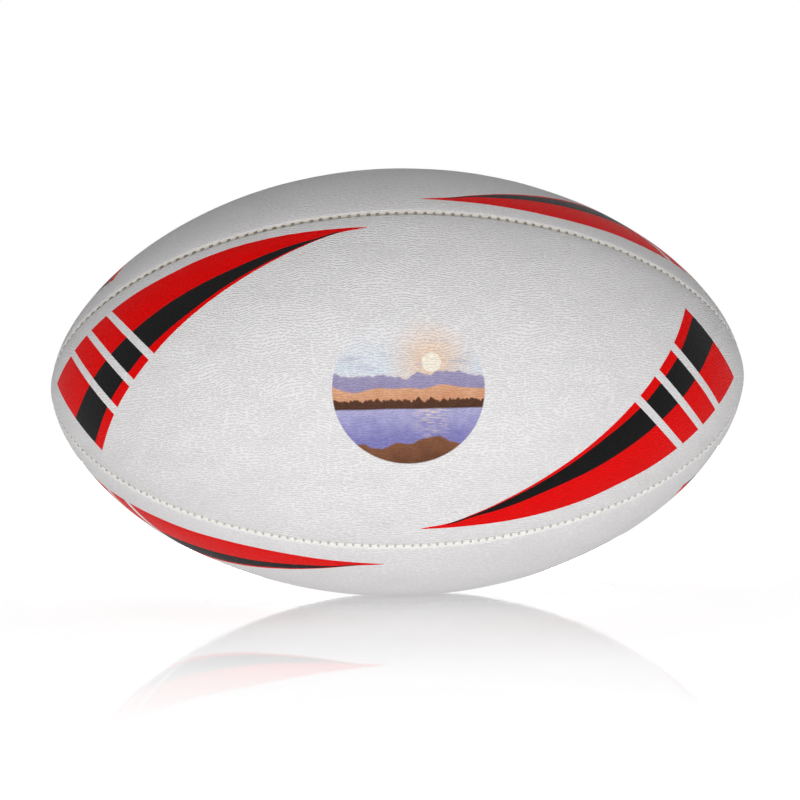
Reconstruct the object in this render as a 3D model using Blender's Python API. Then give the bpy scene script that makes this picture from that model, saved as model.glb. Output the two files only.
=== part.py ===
"""Rugby ball, full size: four stitched cover panels, each on a two-ply cloth lining, round a rubber bladder
with a push-in valve. Metres, +Z up, +X along the ball, the origin at its centre, front panel facing -Y.

Each layer of a panel is a loft of closed sections, one at each station along the ball. All layers share the
same stations and the same corners across, so that their faces lie parallel with an even gap between them.
The valve's pieces are turned about one axis, square to the ball's surface."""

from math import asin, cos, pi, radians, sin, sqrt

import bmesh
import bpy
from mathutils import Euler, Vector

# The outline: x = half length * sin(turn), radius = half diameter * cos(turn) ** TIP_SHAPE.
BALL_LENGTH = 0.300
BALL_DIAMETER = 0.1835  # 576 mm round
TIP_SHAPE = 1.2  # 1 is an ellipsoid, and more draws the ends out to points
POINT_RADIUS = 0.0016  # of the ring on which the four covers end

# Layers, from the outside in. Faces that touch on the real ball keep FACE_GAP.
COVER_THICKNESS = 0.0012
PLY_THICKNESS = 0.0004
BLADDER_WALL = 0.0009
FACE_GAP = 0.0003

# Seams: each panel's edge rolls over a shoulder and turns in beside its neighbour's.
SEAM_GAP = 0.0005
SHOULDER_RADIUS = 0.0020
TURN_IN_DEPTH = 0.0062  # below the outer surface
LIP = 0.0004  # what is left of the turned-in edge near the points
THREAD_DIAMETER = 0.0008
CHANNEL_HALF_WIDTH = 0.0090  # of the dip that the turned-in edges press into the bladder

# Valve: a flanged rubber boot in the bladder, with a barbed plug that pushes into it.
VALVE_FROM_SEAM = 0.022
PLUG_HEAD_RADIUS = 0.0030
PLUG_HEAD_THICKNESS = 0.0020
PLUG_SHANK_RADIUS = 0.0022
PLUG_LENGTH = 0.0160
PLUG_RECESS = 0.0005  # from the ball's surface down to the plug's head
BARBS = 2
BARB_HEIGHT = 0.0004
BARB_LENGTH = 0.0020
BARB_SPACING = 0.0045
NEEDLE_HOLE_RADIUS = 0.0006
FUNNEL_RADIUS = 0.0012
BOOT_WALL = 0.0012
BOOT_FLOOR = 0.0016
BOOT_FLANGE_RADIUS = 0.0090
BOOT_FLANGE_THICKNESS = 0.0014
PATCH_RADIUS = 0.0100
PATCH_THICKNESS = 0.0006
PAD_RADIUS = 0.0128
PAD_FLOOR = 0.0014  # of the bladder's thick pad, under the boot's flange

# Fineness
LAST_STATION = 81  # degrees: where the linings, the threads and the bladder end
STEPS_TO_LAST = 8  # from mid-length
TIP_STATION = 85  # degrees: one more for the covers
TURN_IN_WHOLE = 60  # degrees: the turned-in edge is whole up to here
TURN_IN_TRIMMED = 75  # degrees: and trimmed down to its lip from here on
COVER_FACES = 10  # across a panel's outer face
INNER_FACES = 5  # across every face under it
SHOULDER_FACES = 3
THREAD_SIDES = 5
VALVE_SIDES = 14

# Each panel, its turn about +X from the front, and the panel above it in that turn.
PANELS = (("front", 0, "top"), ("top", -90, "back"), ("back", 180, "bottom"), ("bottom", 90, "front"))
VALVE_PANEL = "back"

QUARTER = pi / 4  # a panel reaches this far each side of its middle
HALF_LENGTH = BALL_LENGTH / 2
HALF_DIAMETER = BALL_DIAMETER / 2
OUTER_PLY_DEPTH = COVER_THICKNESS + FACE_GAP
INNER_PLY_DEPTH = OUTER_PLY_DEPTH + PLY_THICKNESS + FACE_GAP
LINING_DEPTH = INNER_PLY_DEPTH + PLY_THICKNESS
BLADDER_DEPTH = LINING_DEPTH + FACE_GAP


# ---- the ball's outline and its stations ----


def outline(turn):
    """x, radius and the outward normal's parts along and away from the axis, at a turn from mid-length."""
    x = HALF_LENGTH * sin(turn)
    radius = HALF_DIAMETER * cos(turn) ** TIP_SHAPE
    along = HALF_LENGTH * cos(turn)
    inward = TIP_SHAPE * HALF_DIAMETER * cos(turn) ** (TIP_SHAPE - 1) * sin(turn)
    length = sqrt(along**2 + inward**2)
    return x, radius, inward / length, along / length


def ring_radius(turn, depth):
    x, radius, normal_along, normal_away = outline(turn)
    return radius - depth * normal_away


def at(turn, depth, angle):
    """The point at a depth below the surface and an angle about +X, from the front (-Y) towards the top."""
    x, radius, normal_along, normal_away = outline(turn)
    ring = radius - depth * normal_away
    return Vector((x - depth * normal_along, -ring * cos(angle), ring * sin(angle)))


def half_width(turn, depth):
    """From the plane down a panel's middle to its seam, at a depth."""
    return ring_radius(turn, depth) * sin(QUARTER)


def beside_seam(turn, depth, distance):
    """The angle from a panel's middle of what stands at a distance from the plane of its seam."""
    return QUARTER - asin(distance / ring_radius(turn, depth))


def stations(*beyond):
    """Turns from one end of the ball to the other: even steps to the last station, and any beyond it."""
    half = [radians(LAST_STATION) * step / STEPS_TO_LAST for step in range(STEPS_TO_LAST + 1)]
    half += beyond
    return [-turn for turn in reversed(half[1:])] + half


def point_turn():
    return pi / 2 - asin((POINT_RADIUS / HALF_DIAMETER) ** (1 / TIP_SHAPE))


def left_between(turn, start, end):
    """1 up to start, falling evenly to 0 at end."""
    return min(1.0, max(0.0, (end - abs(turn)) / (end - start)))


# ---- a panel's layers ----


def side_distance(turn, depth):
    """From the seam plane to the side of the layer at a depth, thinned where the points close up."""
    thinning = 0.3 + 0.7 * left_between(turn, radians(LAST_STATION), point_turn())
    return SEAM_GAP / 2 + depth * thinning


def shoulder_radius(turn):
    return min(SHOULDER_RADIUS, 0.35 * (half_width(turn, 0) - SEAM_GAP / 2))


def foot_depth(turn, depth):
    """How deep the turned-in edge reaches, of the layer whose inner face is at a depth."""
    lip = max(depth, shoulder_radius(turn)) + LIP
    whole = left_between(turn, radians(TURN_IN_WHOLE), radians(TURN_IN_TRIMMED))
    return lip + max(0.0, TURN_IN_DEPTH - lip) * whole


def crown_angles(turn, faces):
    """Corners across a panel's crown, which ends where the bladder dips towards the seam."""
    distance = min(CHANNEL_HALF_WIDTH, 0.7 * half_width(turn, BLADDER_DEPTH))
    edge = beside_seam(turn, BLADDER_DEPTH, distance)
    return [edge * (2 * step / faces - 1) for step in range(faces + 1)]


def edge_corners(turn, outer, inner, rounded):
    """(depth, distance from the seam plane) from the outer face round the turned-in edge to the inner face."""
    side_out, side_in = side_distance(turn, outer), side_distance(turn, inner)
    foot = foot_depth(turn, inner)
    corners = [(outer, side_out)]
    if rounded:
        radius = shoulder_radius(turn)
        leans = [pi / 2 * step / SHOULDER_FACES for step in range(SHOULDER_FACES + 1)]
        corners = [(outer + radius * (1 - cos(lean)), side_out + radius * (1 - sin(lean))) for lean in leans]
    return corners + [(foot, side_out), (foot, side_in), (inner, side_in)]


def one_side(turn, depth, faces, edge):
    """From foot to foot of one of a layer's two sides: up one edge, across the crown and down the other."""
    upper = [(beside_seam(turn, deep, distance), deep) for deep, distance in edge]
    crown = [(angle, depth) for angle in crown_angles(turn, faces)]
    lower = [(-angle, deep) for angle, deep in reversed(upper)]
    return [at(turn, deep, angle) for angle, deep in lower + crown + upper]


def panel_section(turn, outer, inner, faces, rounded=False):
    """One layer's closed section, as its outer side and its inner side."""
    *outer_edge, inner_foot, inner_corner = edge_corners(turn, outer, inner, rounded)
    outer_side = one_side(turn, outer, faces, outer_edge)
    return outer_side, one_side(turn, inner, INNER_FACES, [inner_corner, inner_foot])


def cover_sections():
    return [panel_section(turn, 0, COVER_THICKNESS, COVER_FACES, rounded=True)
            for turn in stations(radians(TIP_STATION), point_turn())]


def ply_sections(depth):
    return [panel_section(turn, depth, depth + PLY_THICKNESS, INNER_FACES) for turn in stations()]


def thread_sections():
    """A cord along the upper seam, which drops between the two shoulders until it meets both."""
    radius = THREAD_DIAMETER / 2
    reach = SHOULDER_RADIUS + radius + FACE_GAP
    depth = SHOULDER_RADIUS - sqrt(reach**2 - (SHOULDER_RADIUS + SEAM_GAP / 2) ** 2)
    sections = []
    for turn in stations():
        section = []
        for side in range(THREAD_SIDES):
            lean = 2 * pi * side / THREAD_SIDES
            point_depth = depth + radius * cos(lean)
            section.append(at(turn, point_depth, beside_seam(turn, point_depth, radius * sin(lean))))
        sections.append(section)
    return sections


def bladder_sections(inset):
    """The bladder's skin, drawn in by inset: four crowns, with a dip at each seam for the turned-in edges."""
    sections = []
    for turn in stations():
        depth = BLADDER_DEPTH + inset
        dip = foot_depth(turn, LINING_DEPTH) + FACE_GAP + inset
        dip_angle = beside_seam(turn, dip, side_distance(turn, LINING_DEPTH) + FACE_GAP + inset)
        section = []
        for panel in range(4):
            middle = 2 * QUARTER * panel
            section.append(at(turn, dip, middle - dip_angle))
            section += [at(turn, depth, middle + angle) for angle in crown_angles(turn, INNER_FACES)]
            section.append(at(turn, dip, middle + dip_angle))
        sections.append(section)
    return sections


# ---- the valve's turned outlines: (radius, height), with the ball's surface at height 0 ----

PLUG_TOP = -PLUG_RECESS
PLUG_END = PLUG_TOP - PLUG_LENGTH
NECK_RADIUS = PLUG_HEAD_RADIUS + FACE_GAP + BOOT_WALL
TUBE_RADIUS = PLUG_SHANK_RADIUS + BARB_HEIGHT + FACE_GAP + BOOT_WALL
BOOT_END = PLUG_END - FACE_GAP - BOOT_FLOOR


def surface_fall(radius):
    """At most how far the bladder's faces have dropped at this distance from the valve's axis."""
    first = radians(LAST_STATION) / STEPS_TO_LAST
    slope = (HALF_DIAMETER - ring_radius(first, 0)) / (HALF_LENGTH * sin(first))
    facet = HALF_DIAMETER * (1 - cos(QUARTER / INNER_FACES))
    return HALF_DIAMETER - sqrt(HALF_DIAMETER**2 - radius**2) + slope * radius + facet


PATCH_TOP = -BLADDER_DEPTH - surface_fall(PATCH_RADIUS)
FLANGE_TOP = PATCH_TOP - PATCH_THICKNESS - FACE_GAP
FLANGE_END = FLANGE_TOP - BOOT_FLANGE_THICKNESS
PAD_END = FLANGE_END - FACE_GAP - PAD_FLOOR


def plug_side(clearance):
    """Down the side of the plug, or of the bore that it fits with a clearance."""
    head, shank = PLUG_HEAD_RADIUS + clearance, PLUG_SHANK_RADIUS + clearance
    under_head = PLUG_TOP - PLUG_HEAD_THICKNESS
    side = [(head, PLUG_TOP), (head, under_head - clearance), (shank, under_head - clearance)]
    for barb in range(BARBS):
        top = under_head - BARB_SPACING * (barb + 0.5)
        side += [(shank, top + clearance), (shank + BARB_HEIGHT, top + clearance)]
        side.append((shank, top - BARB_LENGTH - clearance))
    return side + [(shank, PLUG_END - clearance)]


def plug_outline():
    funnel_end = PLUG_TOP - 2 * (FUNNEL_RADIUS - NEEDLE_HOLE_RADIUS)
    hole = [(NEEDLE_HOLE_RADIUS, PLUG_END), (NEEDLE_HOLE_RADIUS, funnel_end), (FUNNEL_RADIUS, PLUG_TOP)]
    return plug_side(0) + hole


def boot_outline():
    flange = [(NECK_RADIUS, FLANGE_TOP), (BOOT_FLANGE_RADIUS, FLANGE_TOP), (BOOT_FLANGE_RADIUS, FLANGE_END)]
    tube = [(TUBE_RADIUS, FLANGE_END), (TUBE_RADIUS, BOOT_END)]
    hole = [(NEEDLE_HOLE_RADIUS, BOOT_END), (NEEDLE_HOLE_RADIUS, PLUG_END - FACE_GAP)]
    bore = list(reversed(plug_side(FACE_GAP)))
    return [(NECK_RADIUS, PLUG_TOP)] + flange + tube + hole + bore


def patch_outline():
    inner = NECK_RADIUS + FACE_GAP
    bottom = PATCH_TOP - PATCH_THICKNESS
    return [(inner, PATCH_TOP), (PATCH_RADIUS, PATCH_TOP), (PATCH_RADIUS, bottom), (inner, bottom)]


def pocket_outline():
    """The room in the bladder's pad for the patch, the boot's flange and its tube."""
    above, below = BLADDER_DEPTH, PAD_END - PAD_FLOOR
    patch, flange = PATCH_RADIUS + FACE_GAP, BOOT_FLANGE_RADIUS + FACE_GAP
    tube = TUBE_RADIUS + FACE_GAP
    steps = [(patch, above), (patch, FLANGE_TOP), (flange, FLANGE_TOP), (flange, FLANGE_END - FACE_GAP)]
    return [(0, above)] + steps + [(tube, FLANGE_END - FACE_GAP), (tube, below), (0, below)]


# ---- Blender objects ----


def add_object(name, mesh_data, parent=None):
    mesh = bpy.data.meshes.new(name)
    mesh_data.to_mesh(mesh)
    mesh_data.free()
    mesh.shade_smooth()
    mesh.set_sharp_from_angle(angle=radians(30))
    obj = bpy.data.objects.new(name, mesh)
    bpy.context.collection.objects.link(obj)
    obj.parent = parent
    return obj


def add_empty(name, location=(0, 0, 0), tilt=0.0, parent=None):
    """An empty turned about +X, which the pieces that follow it are parented to."""
    empty = bpy.data.objects.new(name, None)
    empty.empty_display_size = 0.02
    empty.location = location
    empty.rotation_euler = Euler((tilt, 0, 0))
    empty.parent = parent
    bpy.context.collection.objects.link(empty)
    return empty


def skin(bm, rings):
    for near, far in zip(rings, rings[1:]):
        for corner in range(len(near)):
            after = (corner + 1) % len(near)
            bm.faces.new((near[corner], near[after], far[after], far[corner]))


def close_strip(bm, outer, inner):
    """Triangles between the two sides of a layer's end, each over the shorter way across."""
    near, far = 0, 0
    while near < len(outer) - 1 or far < len(inner) - 1:
        step_outer = far == len(inner) - 1
        if not step_outer and near < len(outer) - 1:
            outer_way = (outer[near + 1].co - inner[far].co).length
            step_outer = outer_way < (outer[near].co - inner[far + 1].co).length
        if step_outer:
            bm.faces.new((outer[near], outer[near + 1], inner[far]))
            near += 1
        else:
            bm.faces.new((outer[near], inner[far + 1], inner[far]))
            far += 1


def finish_loft(name, bm, parent):
    bmesh.ops.triangulate(bm, faces=bm.faces[:], quad_method="SHORT_EDGE", ngon_method="BEAUTY")
    bmesh.ops.recalc_face_normals(bm, faces=bm.faces[:])
    return add_object(name, bm, parent)


def loft(name, sections, parent=None):
    """Skin over closed sections that have as many corners each, with a face over both ends."""
    bm = bmesh.new()
    rings = [[bm.verts.new(point) for point in section] for section in sections]
    skin(bm, rings)
    bm.faces.new(rings[0])
    bm.faces.new(rings[-1])
    return finish_loft(name, bm, parent)


def loft_layer(name, sections, parent):
    """The same for a layer, whose curved ends are closed from side to side."""
    bm = bmesh.new()
    sides = [[[bm.verts.new(point) for point in side] for side in section] for section in sections]
    skin(bm, [outer + list(reversed(inner)) for outer, inner in sides])
    for outer, inner in (sides[0], sides[-1]):
        close_strip(bm, outer, inner)
    return finish_loft(name, bm, parent)


def turned(name, profile, parent):
    """A closed profile of (radius, height) spun a full turn about the parent's Z."""
    bm = bmesh.new()
    points = [bm.verts.new((radius, 0, height)) for radius, height in profile]
    edges = [bm.edges.new(pair) for pair in zip(points, points[1:] + points[:1])]
    on_axis = [edge for edge in edges if all(point.co.x == 0 for point in edge.verts)]
    bmesh.ops.delete(bm, geom=on_axis, context="EDGES_FACES")
    bmesh.ops.spin(bm, geom=bm.verts[:] + bm.edges[:], cent=(0, 0, 0), axis=(0, 0, 1), angle=2 * pi,
                   steps=VALVE_SIDES, use_merge=True)
    bmesh.ops.remove_doubles(bm, verts=bm.verts[:], dist=1e-6)
    bmesh.ops.recalc_face_normals(bm, faces=bm.faces[:])
    return add_object(name, bm, parent)


def as_cutter(obj):
    obj.hide_render = True
    obj.display_type = "WIRE"
    return obj


def cut(obj, cutter):
    modifier = obj.modifiers.new(cutter.name, "BOOLEAN")
    modifier.operation = "DIFFERENCE"
    modifier.object = cutter
    modifier.solver = "EXACT"


def paint(obj, colour, roughness):
    material = bpy.data.materials.new(obj.name)
    material.use_nodes = True
    shader = material.node_tree.nodes["Principled BSDF"]
    shader.inputs["Base Color"].default_value = (*colour, 1)
    shader.inputs["Roughness"].default_value = roughness
    shader.inputs["Metallic"].default_value = 0
    material.diffuse_color = (*colour, 1)
    obj.data.materials.append(material)
    return obj


def build_panel(name, above, frame):
    """One panel's cover and two plies, and the thread along the seam to the panel above."""
    cover = loft_layer(f"cover_{name}", cover_sections(), frame)
    outer_ply = loft_layer(f"lining_outer_{name}", ply_sections(OUTER_PLY_DEPTH), frame)
    inner_ply = loft_layer(f"lining_inner_{name}", ply_sections(INNER_PLY_DEPTH), frame)
    thread = loft(f"seam_thread_{name}_{above}", thread_sections(), frame)
    paint(cover, (0.79, 0.78, 0.78), 0.45)
    paint(outer_ply, (0.72, 0.68, 0.58), 0.9)
    paint(inner_ply, (0.66, 0.61, 0.5), 0.9)
    paint(thread, (0.36, 0.32, 0.25), 0.6)
    return cover, outer_ply, inner_ply


def build_valve(axis):
    paint(turned("valve_boot", boot_outline(), axis), (0.02, 0.02, 0.022), 0.6)
    paint(turned("valve_plug", plug_outline(), axis), (0.035, 0.035, 0.038), 0.5)
    paint(turned("valve_patch", patch_outline(), axis), (0.1, 0.09, 0.08), 0.85)


def build_bladder(axis):
    """A thin skin, left thick as a pad round the valve, with a pocket and a bore for the boot."""
    bladder = paint(loft("bladder", bladder_sections(0)), (0.03, 0.03, 0.032), 0.55)
    space = as_cutter(loft("bladder_space", bladder_sections(BLADDER_WALL)))
    pad = as_cutter(turned("bladder_pad", [(0, 0), (PAD_RADIUS, 0), (PAD_RADIUS, PAD_END), (0, PAD_END)], axis))
    cut(space, pad)
    cut(bladder, space)
    cut(bladder, as_cutter(turned("valve_pocket", pocket_outline(), axis)))


def build_ball():
    frames = {name: add_empty(f"{name}_panel", tilt=radians(turn)) for name, turn, above in PANELS}
    # The valve lies towards its panel's lower seam, as that panel stands in its own frame.
    valve_angle = asin(VALVE_FROM_SEAM / HALF_DIAMETER) - QUARTER
    axis = add_empty("valve_axis", at(0, 0, valve_angle), pi / 2 - valve_angle, frames[VALVE_PANEL])
    hole_radius, deep = NECK_RADIUS + FACE_GAP, 2 * TURN_IN_DEPTH
    hole = as_cutter(turned("valve_hole", [(0, deep), (hole_radius, deep), (hole_radius, -deep), (0, -deep)], axis))
    for name, turn, above in PANELS:
        layers = build_panel(name, above, frames[name])
        if name == VALVE_PANEL:
            for layer in layers:
                cut(layer, hole)
    build_valve(axis)
    build_bladder(axis)


for old in list(bpy.data.objects):
    bpy.data.objects.remove(old, do_unlink=True)
build_ball()
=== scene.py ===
# Rugby ball: the looks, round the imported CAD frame. Metres, +X along the ball, front panel facing -Y.
from bisect import bisect
from math import asin, cos, exp, hypot, pi, radians, sin, sqrt

import bmesh
import bpy
import numpy as np
from mathutils import Matrix, Vector, noise


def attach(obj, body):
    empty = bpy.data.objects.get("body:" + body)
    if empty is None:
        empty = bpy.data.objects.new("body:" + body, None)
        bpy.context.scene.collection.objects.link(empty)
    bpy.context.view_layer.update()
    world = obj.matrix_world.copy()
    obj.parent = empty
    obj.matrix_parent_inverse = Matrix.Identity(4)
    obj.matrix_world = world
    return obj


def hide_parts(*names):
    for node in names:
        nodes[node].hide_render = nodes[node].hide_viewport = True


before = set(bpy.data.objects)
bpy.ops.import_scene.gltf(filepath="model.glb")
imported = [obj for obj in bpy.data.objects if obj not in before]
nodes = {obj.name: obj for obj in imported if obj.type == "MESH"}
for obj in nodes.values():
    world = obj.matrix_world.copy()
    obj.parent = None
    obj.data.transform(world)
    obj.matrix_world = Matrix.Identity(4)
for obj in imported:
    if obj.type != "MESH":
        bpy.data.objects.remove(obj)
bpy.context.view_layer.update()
mm = 0.001
waveBand = 0.314  # width of one band of a wave texture at a scale of 1
print("frame loaded:", len(nodes), "nodes")


# small helpers

def linearColour(hexColour):
    channels = [int(hexColour[i:i + 2], 16) / 255 for i in (1, 3, 5)]
    return tuple(c / 12.92 if c <= 0.04045 else ((c + 0.055) / 1.055) ** 2.4 for c in channels) + (1,)


def addNode(tree, kind, inputs=None, **settings):
    node = tree.nodes.new("ShaderNode" + kind)
    for name, value in settings.items():
        setattr(node, name, value)
    for socket, value in (inputs or {}).items():
        if isinstance(value, bpy.types.NodeSocket):
            tree.links.new(value, node.inputs[socket])
        else:
            node.inputs[socket].default_value = linearColour(value) if isinstance(value, str) else value
    return node


def newMaterial(name, roughness, **sockets):
    material = bpy.data.materials.new(name)
    material.use_nodes = True
    shader = material.node_tree.nodes["Principled BSDF"]
    shader.inputs["Roughness"].default_value = roughness
    for socket, value in sockets.items():
        shader.inputs[socket.replace("_", " ")].default_value = value
    return material, material.node_tree, shader


def setStops(ramp, stops, interpolation="LINEAR"):
    ramp.interpolation = interpolation
    ramp.elements.remove(ramp.elements[1])
    ramp.elements[0].position, ramp.elements[0].color = stops[0][0], linearColour(stops[0][1])
    for place, colour in stops[1:]:
        ramp.elements.new(place).color = linearColour(colour)


def addPiece(name, bm, material, body="root"):
    mesh = bpy.data.meshes.new(name)
    bm.to_mesh(mesh)
    bm.free()
    piece = bpy.data.objects.new(name, mesh)
    bpy.context.scene.collection.objects.link(piece)
    mesh.materials.append(material)
    mesh.shade_smooth()
    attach(piece, body)
    return piece


# camera: where the photograph was taken from

view = {
    "place": (-0.0171, -0.5763, -0.0100),
    "lens": 59.68,
    "roll": 0.0220,  # radians: the ball's right end stands a little higher
    "shift": (0.0006, -0.0224),
}

camera = bpy.data.objects.new("camera", bpy.data.cameras.new("camera"))
camera.location = view["place"]
aim = (-Vector(view["place"])).to_track_quat("-Z", "Y").to_matrix()
camera.rotation_euler = (aim @ Matrix.Rotation(-view["roll"], 3, "Z")).to_euler()
camera.data.lens = view["lens"]
camera.data.shift_x, camera.data.shift_y = view["shift"]
bpy.context.scene.collection.objects.link(camera)
bpy.context.scene.camera = camera
print("camera placed")


# the ball's outline

ball = {
    "length": 0.300,
    "diameter": 0.1835,
    "tipShape": 1.2,  # 1 is an ellipsoid
    "tipRadius": 0.0004,  # the panels' points close up to this
    "arcSteps": 3000,  # from mid-length to the tip, to measure along the surface
}


def outline(turn):
    # place along the ball, radius there, and the outward normal's shares along the axis and away from it
    x = ball["length"] / 2 * sin(turn)
    radius = ball["diameter"] / 2 * cos(turn) ** ball["tipShape"]
    along = ball["length"] / 2 * cos(turn)
    inward = ball["tipShape"] * ball["diameter"] / 2 * cos(turn) ** (ball["tipShape"] - 1) * sin(turn)
    return x, radius, inward / hypot(along, inward), along / hypot(along, inward)


def pointAt(turn, depth, angle):
    # a point below the surface; the angle goes round the ball, up from its front
    x, radius, normalAlong, normalAway = outline(turn)
    ring = radius - depth * normalAway
    return Vector((x - depth * normalAlong, -ring * cos(angle), ring * sin(angle)))


# length along the surface from mid-length, for each of many small turns
tipTurn = pi / 2 - asin((2 * ball["tipRadius"] / ball["diameter"]) ** (1 / ball["tipShape"]))
turns = np.linspace(0, tipTurn, ball["arcSteps"])
meridian = np.array([outline(turn)[:2] for turn in turns])
arcs = np.concatenate([[0], np.cumsum(np.hypot(*np.diff(meridian, axis=0).T))])
halfArc = float(arcs[-1])


def turnAt(arc):
    return float(np.sign(arc) * np.interp(abs(arc), arcs, turns))


# cover panels

cover = {
    "thickness": 0.0012,
    "seamGap": 0.0003,
    "shoulder": 0.0020,
    "turnIn": 0.0050,
    "valley": 0.00030,  # how far the panels sink towards a seam, below the true outline
    "valleyWidth": 0.0055,
    "pucker": 0.00016,  # the slack drawn in round each stitch
    "puckerWidth": 0.0026,
    "groove": 0.00050,  # where the thread itself bites in
    "grooveWidth": 0.00028,
    "grooveReach": 0.0008,
    "grooveSpread": (0.6, 0.4),  # of its width: what is fixed, and what goes with the stitch's bite
    "grooveGrime": (0.3, 0.7),  # of its depth: what is fixed, and what goes with the grime and painted shade value
    "waver": 0.00010,  # slow unevenness of the lining under the cover
    "waverSize": 0.022,
    "columns": 378,  # along the ball
    "seamCuts": 4,  # of each column, in the shoulders
    "crownRows": 26,
    "shoulderRows": 8,
    "turnInRows": 2,
    "lessGrimeAndShadeAtTips": 0.7,  # how much less wax, grime and painted shade a seam holds at the ball's tips, as a share
    "tipFade": 0.02,  # radius of the ball from which seams sink less and less
    "tipGap": 0.3,  # the most of a panel's half width that the gap takes, near its points
    "tipShoulder": 0.35,  # and of what is left, the shoulder
    "tipEdge": 0.7,  # the most of the ball's radius that a folded edge lies from the seam's plane
}

# Seams, named by the panels that meet there. Each has the end of its node's name, its place round the ball
# and its count of stitches, then values at its left end and its right: how wide a stitch bites, and how much
# wax and grime it holds, a value that also paints shade on its thread, lip and furrow. Drift is how much
# longer stitches are at the left end than on average, as a share.
seams = {
    "FrontTop": {"node": "front_top", "angle": 45, "stitches": 103, "drift": 0.10, "bite": (3.0, 0.5),
                 "grimeAndShade": (1.0, 0.5)},
    "TopBack": {"node": "top_back", "angle": 135, "stitches": 106, "drift": 0.03, "bite": (1.6, 1.4),
                "grimeAndShade": (0.7, 0.8)},
    "BackBottom": {"node": "back_bottom", "angle": 225, "stitches": 104, "drift": -0.04, "bite": (1.5, 1.1),
                   "grimeAndShade": (0.6, 0.4)},
    "BottomFront": {"node": "bottom_front", "angle": -45, "stitches": 116, "drift": 0.0, "bite": (1.1, 1.1),
                    "grimeAndShade": (0.15, 0.05)},
}
# Panels, with how far left each print was laid (millimetres) and how far it was turned towards the seam above
panels = {
    "Front": {"turn": 0, "print": (4.4, 0.45), "above": "FrontTop", "below": "BottomFront"},
    "Top": {"turn": 90, "print": (0.6, -0.3), "above": "TopBack", "below": "FrontTop"},
    "Back": {"turn": 180, "print": (2.0, -0.2), "above": "BackBottom", "below": "TopBack"},
    "Bottom": {"turn": -90, "print": (0.6, -1.1), "above": "BottomFront", "below": "BackBottom"},
}
# How uneven stitching by hand is: the noise's step from stitch to stitch, and how far it moves and widens
# them and changes their grime and painted shade
handwork = {"step": 1.7, "place": 0.12, "bite": 0.3, "grimeAndShade": 0.5}


def grimeAndShadeAt(seam, share):
    # at a share of the way from the seam's left end; the tips get less grime and painted shade
    left, right = seam["grimeAndShade"]
    return (left + (right - left) * share) * (1 - cover["lessGrimeAndShadeAtTips"] * (2 * share - 1) ** 4)


def stitchPlaces(seam):
    # where each stitch is along the seam, how wide it bites and how much grime and painted shade it holds
    places = []
    for i in range(seam["stitches"]):
        uneven = noise.noise((i * handwork["step"], seam["angle"], 0))
        share = (i + 0.5 + handwork["place"] * uneven) / seam["stitches"]
        arc = halfArc * (2 * (share + seam["drift"] * share * (1 - share)) - 1)
        left, right = seam["bite"]
        bite = (left + (right - left) * share) * (1 + handwork["bite"] * uneven)
        places.append((arc, bite, grimeAndShadeAt(seam, share) * (1 + handwork["grimeAndShade"] * uneven)))
    return places


for seam in seams.values():
    seam["places"] = stitchPlaces(seam)


def stitchPull(arc, distance, seam):
    # how far the thread draws the leather in, at a place along the seam and a distance from it
    i = bisect(seam["places"], (arc,))
    place, bite, grimeAndShade = min(seam["places"][max(0, i - 1):i + 1], key=lambda stitch: abs(stitch[0] - arc))
    off = arc - place
    slack = 0.5 + 0.5 * cos(min(pi, pi * abs(off) * seam["stitches"] / halfArc))
    fixed, spread = cover["grooveSpread"]
    width = cover["grooveWidth"] * (fixed + spread * bite)
    reach = cover["grooveReach"] / sqrt(bite)
    deep = exp(-(off / width) ** 2 - (distance / reach) ** 4)
    fixed, stained = cover["grooveGrime"]
    return (cover["pucker"] * slack * exp(-(distance / cover["puckerWidth"]) ** 2)
            + cover["groove"] * (fixed + stained * grimeAndShade) * deep)


def edgePlace(row, gap, shoulder):
    # how far from the seam's plane, and how far below the outline, a row past the crown lies
    rows = cover["shoulderRows"]
    if row <= rows:
        lean = pi / 2 * row / rows
        return gap + shoulder * (1 - sin(lean)), shoulder * (1 - cos(lean))
    fraction = (row - rows) / cover["turnInRows"]
    return gap, shoulder + (cover["turnIn"] - shoulder) * fraction


def panelPoint(arc, row, panel):
    # the turn, depth and angle of a place on the panel; rows count from its middle, up towards the seam above
    turn = turnAt(arc)
    radius = outline(turn)[1]
    seam = seams[panel["above"] if row > 0 else panel["below"]]
    halfWidth = radius * sin(pi / 4)
    gap = min(cover["seamGap"] / 2, cover["tipGap"] * halfWidth)
    shoulder = min(cover["shoulder"], cover["tipShoulder"] * (halfWidth - gap))
    crown = cover["crownRows"] / 2
    side = abs(row)
    if side <= crown:
        angle = (pi / 4 - asin((gap + shoulder) / radius)) * side / crown
        depth = 0
        distance = radius * sin(pi / 4 - angle)
    else:
        distance, depth = edgePlace(side - crown, gap, shoulder)
        ring = radius - depth * outline(turn)[3]
        if distance >= ring * sin(pi / 4):
            depth = 0
            ring = radius
        angle = pi / 4 - asin(min(distance, ring * cover["tipEdge"]) / ring)
    fade = min(1, radius / cover["tipFade"])
    depth += cover["valley"] * fade * exp(-(distance / cover["valleyWidth"]) ** 2)
    depth += fade * stitchPull(arc, distance, seam)
    sign = 1 if row > 0 else -1
    return turn, depth, sign * angle


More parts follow.
